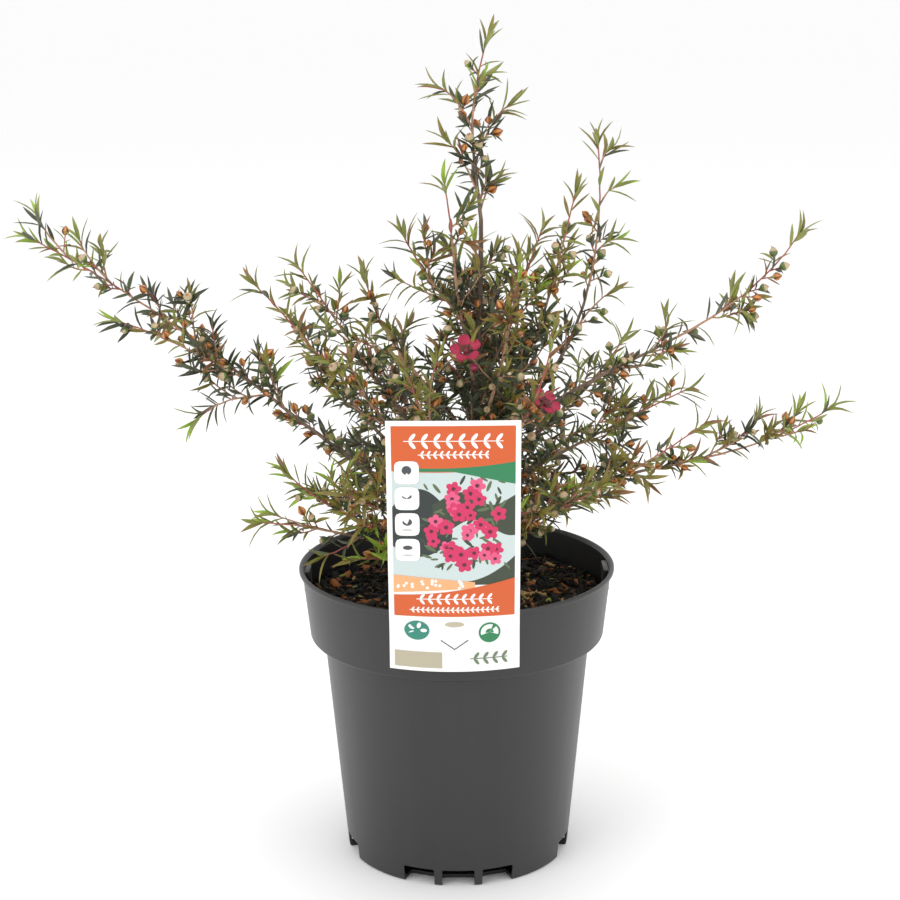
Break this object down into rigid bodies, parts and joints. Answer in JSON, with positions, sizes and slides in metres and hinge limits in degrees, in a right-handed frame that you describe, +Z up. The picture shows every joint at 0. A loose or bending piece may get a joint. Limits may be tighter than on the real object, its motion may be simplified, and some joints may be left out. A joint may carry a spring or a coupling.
{
  "type": "potted tea tree shrub",
  "caption": "Young tea tree shrub with narrow leaves and woody buds, growing in a tapered round nursery pot with a card label over its rim.",
  "frame": {"origin": "centre of the pot's flat underside", "axes": "+Z up along the pot's axis, -Y towards the front where the label hangs, +X to the right seen from the front"},
  "size_m": [0.52, 0.3037, 0.5309],
  "materials": {
    "pot_plastic": "satin charcoal",
    "potting_mix": "damp and rough",
    "label_card": "smooth printed card",
    "bark": "fine rough bark",
    "foliage": "dull leaf green"
  },
  "bodies": {
    "root": {"pot": "pot_plastic", "potting_mix": "potting_mix", "label": "label_card", "trunk": "bark", "bough_left_limb": "bark", "bough_left_rise": "bark", "bough_left_spray": "bark", "bough_left_front": "bark", "bough_right_inner": "bark", "bough_right_tall": "bark", "bough_right_arm": "bark", "bough_right_short": "bark", "bough_right_low_inner": "bark", "bough_right_low": "bark", "bough_left_low": "bark", "bough_back_right": "bark", "bough_back_limb": "bark", "bough_back_left": "bark", "bough_back_upright": "bark", "bough_back_low_right": "bark", "bough_back_low_left": "bark", "mass_leader": "foliage", "mass_left_limb": "foliage", "mass_left_rise": "foliage", "mass_left_spray": "foliage", "mass_left_front": "foliage", "mass_left_upright": "foliage", "mass_left_front_upright": "foliage", "mass_leader_left": "foliage", "mass_leader_near": "foliage", "mass_leader_far": "foliage", "mass_centre_front": "foliage", "mass_centre_right": "foliage", "mass_right_inner": "foliage", "mass_right_tall": "foliage", "mass_right_front": "foliage", "mass_right_arm": "foliage", "mass_right_short": "foliage", "mass_right_low_inner": "foliage", "mass_right_low": "foliage", "mass_right_foot": "foliage", "mass_right_drop": "foliage", "mass_left_foot": "foliage", "mass_left_low": "foliage", "mass_left_drop": "foliage", "mass_front_bloom": "foliage", "mass_right_bloom": "foliage", "mass_left_near": "foliage", "mass_right_near": "foliage", "mass_back_right": "foliage", "mass_back_limb": "foliage", "mass_back_left": "foliage", "mass_back_upright": "foliage", "mass_back_low_right": "foliage", "mass_back_low_left": "foliage", "mass_back_near": "foliage"}
  },
  "joints": []
}
